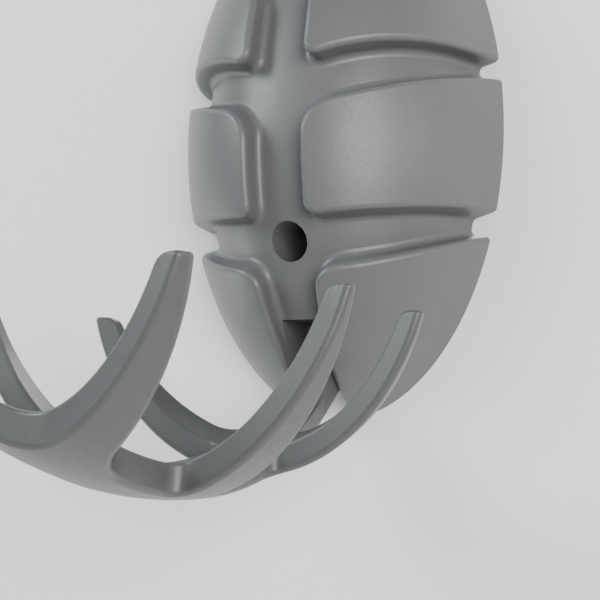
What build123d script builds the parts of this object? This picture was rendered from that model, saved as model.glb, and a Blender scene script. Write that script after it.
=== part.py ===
"""Folding wall hook: an egg-shaped base with grooved pads and a six-tined hook that folds into the grooves."""
import os

from build123d import *

# Egg form: an ellipsoid whose centre lies behind the wall, sizes in mm
egg_half_width = 38.9
egg_half_depth = 47.4
egg_half_height = 64.6
egg_set_back = 13.0

# Grooves: how far the floor lies under the egg at its side, front and top
floor_side = 4.3
floor_front = 5.6
floor_top = 4.3
groove_half_width = 6.0
slot_half_width = 5.1

# Pad edges, as heights at the middle groove, half way out, near the rim and past it:
# first in the wall plane, then in a plane in front of the part, so that the walls lean as the hook's swing needs
front_reach = 40.0
edge_middle = 22.0
edge_shoulder = 33.0
edge_far = 42.0
upper_top_wall = (34.2, 39.3, 39.3, 37.5)
upper_top_front = (24.2, 29.3, 29.3, 27.5)
upper_under_wall = (7.2, 11.9, 13.6, 19.0)
upper_under_front = (9.2, 13.9, 15.6, 21.0)
middle_top_wall = (14.6, 12.5, 10.9, 8.5)
middle_top_front = (-3.4, -1.2, 0.45, 0.8)
middle_under_wall = (-23.3, -21.2, -18.7, -15.8)
middle_under_front = (-21.3, -19.2, -16.7, -13.8)
lower_top_wall = (-16.6, -20.9, -23.0, -24.6)
lower_top_front = (-38.6, -37.0, -33.5, -30.2)
cap_point = 35.0
cap_rise = 0.31
cap_radius = 14.0
cap_slope = 0.05

# The lower pads' inner edges, which draw in towards the slot: half width at the pad's top, and far below
lower_near_wall = 7.85
lower_near_front = 5.87
lower_foot = 1.24

# Corner radii of the pads, in the wall plane and in front: in step with the edges, so that the walls stay smooth
upper_pad_sweep = (8.0, 8.0)
middle_pad_sweep = (5.7, 7.0)
lower_pad_sweep = (4.0, 5.5)
crotch_sweep = (2.4, 2.4)
pad_radius = 1.1
floor_radius = 1.4

# Hook: clearances in the grooves and edge radii
side_gap = 0.5
rise_gap_wall = 1.3
rise_gap_front = 0.3
floor_gap = 0.3
tip_gap = 1.2
claw_radius = 2.5
hook_outer_radius = 1.0
hook_inner_radius = 0.6

# Hinge
hinge_out = 10.0
hinge_height = -52.0
unfold_angle = 88.0
pin_diameter = 3.0
pin_running_gap = 0.05
pin_half_length = 9.0
barrel_radius = 3.5
cheek_gap = 0.4
neck_height = -42.6
neck_back = 16.9
neck_front = 22.0
heel_end = -57.0

# Slot for the hinge barrel, with cheeks beside it and the bar that stops the heel
slot_top = -41.3
cheek_top = -39.0
cheek_thickness = 4.0
stop_back = 2.2
stop_front = 6.2
stop_bottom = -43.3

# Back of the base and wall screws
wall_thickness = 2.8
screw_heights = (-26.0, 30.0)
screw_head_diameter = 8.0
screw_shank_diameter = 4.5
screw_seat = 4.0
boss_diameter = 13.0

# Reach of the cutting tools past the part
tool_reach = 90.0

# How edges are found for rounding: ratio off the egg, and distance from the wall
egg_tolerance = 0.002
rim_margin = 0.5
tip_margin = 2.5


def ellipsoid(shrink):
    """An egg that lies inside the outer one by the amounts asked at its side, front and top."""
    with BuildPart() as egg:
        Sphere(1.0)
        scale(by=(egg_half_width - shrink[0], egg_half_depth - shrink[1], egg_half_height - shrink[2]))
    return egg.part.moved(Location((0, egg_set_back, 0)))


def raised(heights, grow):
    return tuple(height + grow for height in heights)


def side_outline(plane, heights, near, foot, radius, end):
    """A pad's side in one plane: the space between the middle groove, the pad edge and a far end."""
    with BuildSketch(plane) as outline:
        with BuildLine():
            bow = ThreePointArc((near, heights[0]), (edge_middle, heights[1]), (edge_shoulder, heights[2]))
            run = TangentArc(bow @ 1, (edge_far, heights[3]), tangent=bow % 1)
            Polyline(run @ 1, (edge_far, end), (foot, end), bow @ 0)
        make_face()
        fillet(outline.vertices().sort_by_distance(Vector(near, heights[0]))[0], radius)
    return outline.sketch


def pad_side(wall, front, nears, foot, radii, end):
    """A pad's side that leans from its outline in the wall plane to the one in front of the part."""
    near_side = side_outline(Plane.XZ, wall, nears[0], foot, radii[0], end)
    far_side = side_outline(Plane.XZ.offset(front_reach), front, nears[1], foot, radii[1], end)
    with BuildPart() as side:
        loft([near_side, far_side], ruled=True)
    return side.part


def pad_top(wall, front, radii, gap):
    near = groove_half_width - gap
    return pad_side(raised(wall, gap), raised(front, gap), (near, near), near, radii, -tool_reach)


def pad_under(wall, front, gap, wall_gap, front_gap):
    near = groove_half_width - gap
    lowered = raised(wall, -wall_gap)
    return pad_side(lowered, raised(front, -front_gap), (near, near), near, crotch_sweep, tool_reach)


def upper_pad(gap, wall_gap, front_gap):
    top = pad_top(upper_top_wall, upper_top_front, upper_pad_sweep, gap)
    return top & pad_under(upper_under_wall, upper_under_front, gap, wall_gap, front_gap)


def middle_pad(gap, wall_gap, front_gap):
    top = pad_top(middle_top_wall, middle_top_front, middle_pad_sweep, gap)
    return top & pad_under(middle_under_wall, middle_under_front, gap, wall_gap, front_gap)


def lower_pad(gap):
    nears = (lower_near_wall - gap, lower_near_front - gap)
    wall = raised(lower_top_wall, gap)
    front = raised(lower_top_front, gap)
    return pad_side(wall, front, nears, lower_foot - gap, lower_pad_sweep, -tool_reach)


def cap_pad(gap):
    """The pad over the end of the hook, with a rounded point between its two outer tines."""
    point = cap_point - gap
    rim = point + cap_rise * edge_far
    with BuildPart() as cap:
        with BuildSketch(Plane.XZ) as outline:
            with BuildLine():
                Polyline(
                    (0, point),
                    (edge_far, rim),
                    (edge_far, tool_reach),
                    (-edge_far, tool_reach),
                    (-edge_far, rim),
                    close=True,
                )
            make_face()
            fillet(outline.vertices().sort_by_distance(Vector(0, point))[0], cap_radius)
        extrude(amount=tool_reach, dir=Vector(0, -1, cap_slope).normalized())
    return cap.part


def edges_on(shape, shrink, near_wall):
    """The edges of a shape that lie on an egg and end no nearer to the wall than asked."""
    axes = [size - less for size, less in zip((egg_half_width, egg_half_depth, egg_half_height), shrink)]

    def level(point):
        return (point.X / axes[0]) ** 2 + ((point.Y - egg_set_back) / axes[1]) ** 2 + (point.Z / axes[2]) ** 2

    found = []
    for edge in shape.edges():
        fits = all(abs(level(edge @ part) - 1) < egg_tolerance for part in (0.2, 0.5, 0.8))
        sideways = abs((edge @ 0.2).X) > rim_margin
        if fits and sideways and edge.center().Y < -near_wall:
            found.append(edge)
    return found


def rounded_pad(shape):
    """A pad trimmed to the egg, with its outer edge rounded."""
    with BuildPart() as block:
        add(shape & outer_egg)
        fillet(edges_on(block, (0, 0, 0), rim_margin), pad_radius)
    return block.part


def beam(half_width, backs, heights):
    """A block across the middle, between two distances from the wall and two heights."""
    with BuildPart() as block:
        with Locations((0, -(backs[0] + backs[1]) / 2, (heights[0] + heights[1]) / 2)):
            Box(2 * half_width, backs[1] - backs[0], heights[1] - heights[0])
    return block.part


def rod(radius):
    """A bar of the pin's length along the hinge line."""
    with BuildPart() as bar:
        with BuildSketch(Plane.YZ.offset(-pin_half_length)):
            with Locations((-hinge_out, hinge_height)):
                Circle(radius)
        extrude(amount=2 * pin_half_length)
    return bar.part


def screw_cylinder(diameter, start, end, height):
    """A round bar square to the wall, from one distance from it to another."""
    with BuildPart() as bar:
        with BuildSketch(Plane.XZ.offset(start)):
            with Locations((0, height)):
                Circle(diameter / 2)
        extrude(amount=end - start)
    return bar.part


floor_shrink = (floor_side, floor_front, floor_top)
hollow_shrink = raised(floor_shrink, wall_thickness)
hook_shrink = raised(floor_shrink, -floor_gap)
outer_egg = ellipsoid((0, 0, 0))
floor_egg = ellipsoid(floor_shrink)
behind_wall = beam(tool_reach, (-tool_reach, 0), (-tool_reach, tool_reach))
cheek_half = slot_half_width + cheek_thickness
barrel_half = slot_half_width - cheek_gap
hook_gaps = (side_gap, rise_gap_wall, rise_gap_front)
hinge_line = Axis((0, -hinge_out, hinge_height), (1, 0, 0))
pin_span = (hinge_height - pin_diameter / 2, hinge_height + pin_diameter / 2)
to_origin = Location((0, 0, -sum(screw_heights) / 2))

# Base: half egg with pads, hollow at the back, hinge cheeks, stop bar and screw bosses
with BuildPart() as base:
    add(floor_egg - behind_wall)
    for shape in (upper_pad(0, 0, 0), middle_pad(0, 0, 0), lower_pad(0)):
        block = rounded_pad(shape)
        add(block)
        add(block.mirror(Plane.YZ))
    add(rounded_pad(cap_pad(0)))
    fillet(edges_on(base, floor_shrink, rim_margin), floor_radius)
    add(ellipsoid(hollow_shrink), mode=Mode.SUBTRACT)
    add(beam(cheek_half, (0, egg_half_depth), (-egg_half_height, cheek_top)) & floor_egg)
    for height in screw_heights:
        add(screw_cylinder(boss_diameter, 0, egg_half_depth, height) & floor_egg)
    add(beam(slot_half_width, (0, egg_half_depth), (-egg_half_height, slot_top)), mode=Mode.SUBTRACT)
    add(beam(slot_half_width, (stop_back, stop_front), (stop_bottom, slot_top)))
    add(rod(pin_diameter / 2), mode=Mode.SUBTRACT)
    add(beam(pin_half_length, (0, hinge_out), pin_span), mode=Mode.SUBTRACT)
    for height in screw_heights:
        add(screw_cylinder(screw_shank_diameter, 0, egg_half_depth, height), mode=Mode.SUBTRACT)
        add(screw_cylinder(screw_head_diameter, screw_seat, egg_half_depth, height), mode=Mode.SUBTRACT)

# Left half of the hook, made folded into the grooves
with BuildPart() as tines:
    add(outer_egg - ellipsoid(hook_shrink))
    add(beam(tool_reach, (-tool_reach, tip_gap), (-tool_reach, tool_reach)), mode=Mode.SUBTRACT)
    add(beam(tool_reach, (0, tool_reach), (-tool_reach, heel_end)), mode=Mode.SUBTRACT)
    with Locations((tool_reach, 0, 0)):
        Box(2 * tool_reach, 2 * tool_reach, 2 * tool_reach, mode=Mode.SUBTRACT)
    for shape in (upper_pad(*hook_gaps), middle_pad(*hook_gaps), lower_pad(side_gap)):
        add(shape.mirror(Plane.YZ), mode=Mode.SUBTRACT)
    add(cap_pad(side_gap), mode=Mode.SUBTRACT)
    claws = [edge for edge in edges_on(tines, hook_shrink, 0) if edge.center().Y > -tip_margin]
    fillet([edge for edge in claws if edge.center().Z > hinge_height], claw_radius)
    fillet(edges_on(tines, (0, 0, 0), tip_margin), hook_outer_radius)
    fillet(edges_on(tines, hook_shrink, tip_margin), hook_inner_radius)

# Hook: both halves, hinge barrel and heel, turned out about the hinge
with BuildPart() as hook:
    add(tines.part)
    add(tines.part.mirror(Plane.YZ))
    with BuildSketch(Plane.YZ.offset(-barrel_half)):
        with Locations((-hinge_out, hinge_height)):
            Circle(barrel_radius)
        with BuildLine():
            Line((-neck_back, neck_height), (-neck_front, neck_height))
        make_hull()
    extrude(amount=2 * barrel_half)
    add(rod(pin_diameter / 2 + pin_running_gap), mode=Mode.SUBTRACT)
hook.part = hook.part.rotate(hinge_line, unfold_angle)

# Pin: pressed into the cheeks, running in the barrel
with BuildPart() as pin:
    add(rod(pin_diameter / 2))

# Place all pieces with the middle of the screw pattern at the origin
base.part = base.part.moved(to_origin)
hook.part = hook.part.moved(to_origin)
pin.part = pin.part.moved(to_origin)
base.part.label = "base"
hook.part.label = "hook"
pin.part.label = "pin"

os.makedirs("parts", exist_ok=True)
export_step(base.part, "parts/base.step")
export_step(hook.part, "parts/hook.step")
export_step(pin.part, "parts/pin.step")
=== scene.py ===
import math

import bpy
from mathutils import Matrix, Vector

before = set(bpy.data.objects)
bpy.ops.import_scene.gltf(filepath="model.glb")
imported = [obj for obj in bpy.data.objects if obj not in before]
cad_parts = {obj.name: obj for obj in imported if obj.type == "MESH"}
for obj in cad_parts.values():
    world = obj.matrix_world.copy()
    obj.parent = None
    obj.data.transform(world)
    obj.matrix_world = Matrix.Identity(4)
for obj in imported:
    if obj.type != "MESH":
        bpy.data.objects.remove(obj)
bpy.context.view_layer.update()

MM = 0.001

# Slivers in the mesh that would spoil the shading beside them: area in square metres
SLIVER_AREA = 1e-9
SMOOTH_ANGLE = math.radians(30)

# Camera: where the photograph was taken from, in the frame of the model
CAMERA_PLACE = Vector((95.4, -206.9, -59.5)) * MM
CAMERA_YAW = math.radians(26.94)
CAMERA_PITCH = math.radians(5.45)
CAMERA_ROLL = math.radians(1.15)
FOCAL_LENGTH = 61.56
SENSOR_WIDTH = 36.0
CLIP_NEAR = 0.005
CLIP_FAR = 20.0

# Wall and floor of the studio: lengths in metres, and the paint
WALL_OFFSET = 0.4 * MM
WALL_SIZE = 3.0
FLOOR_DROP = 0.9
WALL_COLOUR = (0.88, 0.88, 0.88, 1.0)
WALL_ROUGHNESS = 0.75
WALL_GLOW = 0.0
FLOOR_GLOW = 0.2
PLASTER_SCALE = 90.0
PLASTER_DETAIL = 4.0
PLASTER_BUMP = 0.10
PLASTER_DEPTH = 1.0 * MM

# Soft lights: their distance from the part in metres, and their colours
LIGHT_DISTANCE = 1.1
WARM = (1.0, 0.99, 0.975)
NEUTRAL = (1.0, 1.0, 1.0)
COOL = (0.94, 0.985, 1.0)
FAINTLY_COOL = (0.96, 0.99, 1.0)

# Faint light of the room, seen from the hook: from below, level and from above
WORLD_BELOW = (0.01, 0.01, 0.01, 1.0)
WORLD_LEVEL = (0.04, 0.04, 0.04, 1.0)
WORLD_ABOVE = (0.10, 0.12, 0.15, 1.0)
BACKDROP_COLOUR = (0.95, 0.95, 0.95, 1.0)

# Satin grey finish: dark and light clouds on the base, and the same clouds on the hook in darker greys that
# are painted shade for the weaker light the hook gets
BASE_GREYS = ((0.105, 0.108, 0.111, 1.0), (0.112, 0.115, 0.118, 1.0))
HOOK_SHADED_GREYS = ((0.070, 0.072, 0.074, 1.0), (0.075, 0.077, 0.079, 1.0))
CLOUD_SCALE = 60.0
CLOUD_DETAIL = 3.0
CLOUD_RANGE = (0.3, 0.7)
GRAIN_SCALE = 2000.0
GRAIN_DETAIL = 2.0
GRAIN_BUMP = 0.45
GRAIN_DEPTH = 0.06 * MM
GRAIN_RANGE = (0.25, 0.75)
SATIN_ROUGHNESS = (0.33, 0.45)
SATIN_IOR = 1.47

# Pin steel
STEEL_COLOUR = (0.55, 0.55, 0.56, 1.0)
STEEL_SCALE = 900.0
STEEL_ROUGHNESS = (0.25, 0.45)


def add_camera():
    data = bpy.data.cameras.new("camera")
    data.lens = FOCAL_LENGTH
    data.sensor_width = SENSOR_WIDTH
    data.clip_start = CLIP_NEAR
    data.clip_end = CLIP_FAR
    camera = bpy.data.objects.new("camera", data)
    bpy.context.scene.collection.objects.link(camera)
    camera.matrix_world = (
        Matrix.Translation(CAMERA_PLACE)
        @ Matrix.Rotation(CAMERA_YAW, 4, "Z")
        @ Matrix.Rotation(math.pi / 2 + CAMERA_PITCH, 4, "X")
        @ Matrix.Rotation(CAMERA_ROLL, 4, "Z")
    )
    bpy.context.scene.camera = camera


def add_plane(name, corners, material):
    mesh = bpy.data.meshes.new(name)
    mesh.from_pydata(corners, [], [(0, 1, 2, 3)])
    mesh.materials.append(material)
    plane = bpy.data.objects.new(name, mesh)
    bpy.context.scene.collection.objects.link(plane)


def new_material(name):
    material = bpy.data.materials.new(name)
    material.use_nodes = True
    tree = material.node_tree
    return material, tree, tree.nodes["Principled BSDF"]


def add_noise(tree, scale, detail):
    noise = tree.nodes.new("ShaderNodeTexNoise")
    noise.inputs["Scale"].default_value = scale
    noise.inputs["Detail"].default_value = detail
    return noise


def add_bump(tree, shader, noise, strength, depth):
    bump = tree.nodes.new("ShaderNodeBump")
    bump.inputs["Strength"].default_value = strength
    bump.inputs["Distance"].default_value = depth
    tree.links.new(noise.outputs["Fac"], bump.inputs["Height"])
    tree.links.new(bump.outputs["Normal"], shader.inputs["Normal"])


def wall_material(name, glow):
    """Pale paint that is seen only from the room and casts no shadow, so that the base's back shows too."""
    material, tree, shader = new_material(name)
    shader.inputs["Base Color"].default_value = WALL_COLOUR
    shader.inputs["Roughness"].default_value = WALL_ROUGHNESS
    shader.inputs["Emission Color"].default_value = WALL_COLOUR
    shader.inputs["Emission Strength"].default_value = glow
    coords = tree.nodes.new("ShaderNodeTexCoord")
    plaster = add_noise(tree, PLASTER_SCALE, PLASTER_DETAIL)
    tree.links.new(coords.outputs["Object"], plaster.inputs["Vector"])
    add_bump(tree, shader, plaster, PLASTER_BUMP, PLASTER_DEPTH)
    geometry = tree.nodes.new("ShaderNodeNewGeometry")
    path = tree.nodes.new("ShaderNodeLightPath")
    unseen = tree.nodes.new("ShaderNodeMath")
    unseen.operation = "MAXIMUM"
    tree.links.new(geometry.outputs["Backfacing"], unseen.inputs[0])
    tree.links.new(path.outputs["Is Shadow Ray"], unseen.inputs[1])
    clear = tree.nodes.new("ShaderNodeBsdfTransparent")
    mix = tree.nodes.new("ShaderNodeMixShader")
    tree.links.new(unseen.outputs["Value"], mix.inputs["Fac"])
    tree.links.new(shader.outputs["BSDF"], mix.inputs[1])
    tree.links.new(clear.outputs["BSDF"], mix.inputs[2])
    tree.links.new(mix.outputs["Shader"], tree.nodes["Material Output"].inputs["Surface"])
    return material


def satin_grey(name, greys):
    """Satin grey moulding: even colour with faint clouds and a fine grain in the gloss."""
    material, tree, shader = new_material(name)
    shader.inputs["IOR"].default_value = SATIN_IOR
    coords = tree.nodes.new("ShaderNodeTexCoord")
    clouds = add_noise(tree, CLOUD_SCALE, CLOUD_DETAIL)
    ramp = tree.nodes.new("ShaderNodeValToRGB")
    for element, position, grey in zip(ramp.color_ramp.elements, CLOUD_RANGE, greys):
        element.position = position
        element.color = grey
    tree.links.new(coords.outputs["Object"], clouds.inputs["Vector"])
    tree.links.new(clouds.outputs["Fac"], ramp.inputs["Fac"])
    tree.links.new(ramp.outputs["Color"], shader.inputs["Base Color"])
    grain = add_noise(tree, GRAIN_SCALE, GRAIN_DETAIL)
    tree.links.new(coords.outputs["Object"], grain.inputs["Vector"])
    add_bump(tree, shader, grain, GRAIN_BUMP, GRAIN_DEPTH)
    gloss = tree.nodes.new("ShaderNodeMapRange")
    gloss.inputs["From Min"].default_value = GRAIN_RANGE[0]
    gloss.inputs["From Max"].default_value = GRAIN_RANGE[1]
    gloss.inputs["To Min"].default_value = SATIN_ROUGHNESS[0]
    gloss.inputs["To Max"].default_value = SATIN_ROUGHNESS[1]
    tree.links.new(grain.outputs["Fac"], gloss.inputs["Value"])
    tree.links.new(gloss.outputs["Result"], shader.inputs["Roughness"])
    return material


def steel():
    """Bare steel with an uneven polish."""
    material, tree, shader = new_material("pin_steel")
    shader.inputs["Base Color"].default_value = STEEL_COLOUR
    shader.inputs["Metallic"].default_value = 1.0
    noise = tree.nodes.new("ShaderNodeTexNoise")
    noise.inputs["Scale"].default_value = STEEL_SCALE
    polish = tree.nodes.new("ShaderNodeMapRange")
    polish.inputs["To Min"].default_value = STEEL_ROUGHNESS[0]
    polish.inputs["To Max"].default_value = STEEL_ROUGHNESS[1]
    tree.links.new(noise.outputs["Fac"], polish.inputs["Value"])
    tree.links.new(polish.outputs["Result"], shader.inputs["Roughness"])
    return material


def add_light(name, azimuth, elevation, size, power, colour, opening=180):
    """A round soft light that faces the part.

    Azimuth and elevation, in degrees, are seen from the part, off the wall's outward direction. Size is in
    metres, power in watts and the opening of the beam in degrees.
    """
    data = bpy.data.lights.new(name, "AREA")
    data.shape = "DISK"
    data.size = size
    data.energy = power
    data.color = colour
    data.spread = math.radians(opening)
    light = bpy.data.objects.new(name, data)
    bpy.context.scene.collection.objects.link(light)
    level = math.cos(math.radians(elevation))
    out = Vector((
        math.sin(math.radians(azimuth)) * level,
        -math.cos(math.radians(azimuth)) * level,
        math.sin(math.radians(elevation)),
    ))
    light.location = out * LIGHT_DISTANCE
    light.rotation_euler = (-out).to_track_quat("-Z", "Y").to_euler()


def set_world():
    """Faint light from all round, brighter from above than from below, before a pale backdrop."""
    world = bpy.data.worlds.new("studio")
    world.use_nodes = True
    tree = world.node_tree
    coords = tree.nodes.new("ShaderNodeTexCoord")
    split = tree.nodes.new("ShaderNodeSeparateXYZ")
    # A direction's height, from -1 to 1, becomes a place on the ramp, from 0 to 1
    height = tree.nodes.new("ShaderNodeMapRange")
    height.inputs["From Min"].default_value = -1.0
    ramp = tree.nodes.new("ShaderNodeValToRGB")
    ramp.color_ramp.elements[0].color = WORLD_BELOW
    ramp.color_ramp.elements[1].color = WORLD_ABOVE
    middle = ramp.color_ramp.elements.new(0.5)
    middle.color = WORLD_LEVEL
    room = tree.nodes["Background"]
    tree.links.new(coords.outputs["Generated"], split.inputs["Vector"])
    tree.links.new(split.outputs["Z"], height.inputs["Value"])
    tree.links.new(height.outputs["Result"], ramp.inputs["Fac"])
    tree.links.new(ramp.outputs["Color"], room.inputs["Color"])
    backdrop = tree.nodes.new("ShaderNodeBackground")
    backdrop.inputs["Color"].default_value = BACKDROP_COLOUR
    path = tree.nodes.new("ShaderNodeLightPath")
    mix = tree.nodes.new("ShaderNodeMixShader")
    tree.links.new(path.outputs["Is Camera Ray"], mix.inputs["Fac"])
    tree.links.new(room.outputs["Background"], mix.inputs[1])
    tree.links.new(backdrop.outputs["Background"], mix.inputs[2])
    tree.links.new(mix.outputs["Shader"], tree.nodes["World Output"].inputs["Surface"])
    bpy.context.scene.world = world


def mend_normals(mesh):
    """Give corners beside slivers of no area the direction of the full faces around them."""
    beside = {}
    for face in mesh.polygons:
        if face.area < SLIVER_AREA:
            for vertex in face.vertices:
                beside[vertex] = []
    for face in mesh.polygons:
        if face.area >= SLIVER_AREA:
            for vertex in face.vertices:
                if vertex in beside:
                    beside[vertex].append(face)
    normals = [corner.vector.copy() for corner in mesh.corner_normals]
    for vertex, faces in beside.items():
        for face in faces:
            mean = Vector()
            for other in faces:
                if other.normal.angle(face.normal) < SMOOTH_ANGLE:
                    mean += other.normal * other.area
            for loop in face.loop_indices:
                if mesh.loops[loop].vertex_index == vertex:
                    normals[loop] = mean.normalized()
    mesh.normals_split_custom_set(normals)


def paint(node, material):
    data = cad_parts[node].data
    mend_normals(data)
    data.materials.clear()
    data.materials.append(material)


paint("base", satin_grey("base_grey", BASE_GREYS))
# The hook's darker greys are painted shade: the base's satin grey, darkened for the weaker light on the
# hook
paint("hook", satin_grey("hook_shaded_grey", HOOK_SHADED_GREYS))
paint("pin", steel())

reach = WALL_SIZE / 2
add_plane(
    "wall",
    [
        (-reach, WALL_OFFSET, -FLOOR_DROP),
        (reach, WALL_OFFSET, -FLOOR_DROP),
        (reach, WALL_OFFSET, WALL_SIZE),
        (-reach, WALL_OFFSET, WALL_SIZE),
    ],
    wall_material("wall_paint", WALL_GLOW),
)
add_plane(
    "floor",
    [
        (-reach, -WALL_SIZE, -FLOOR_DROP),
        (reach, -WALL_SIZE, -FLOOR_DROP),
        (reach, WALL_OFFSET, -FLOOR_DROP),
        (-reach, WALL_OFFSET, -FLOOR_DROP),
    ],
    wall_material("floor_paint", FLOOR_GLOW),
)

add_light("right", azimuth=40, elevation=4, size=0.7, power=15.5, colour=WARM)
add_light("window", azimuth=72, elevation=6, size=0.4, power=1.9, colour=NEUTRAL)
add_light("left", azimuth=-50, elevation=25, size=0.6, power=10.0, colour=COOL)
add_light("side", azimuth=-86, elevation=-14, size=0.5, power=2.6, colour=FAINTLY_COOL)
add_light("front", azimuth=-15, elevation=15, size=0.6, power=1.4, colour=COOL)
add_light("back", azimuth=-165, elevation=32, size=0.5, power=2.4, colour=NEUTRAL, opening=60)
set_world()
add_camera()
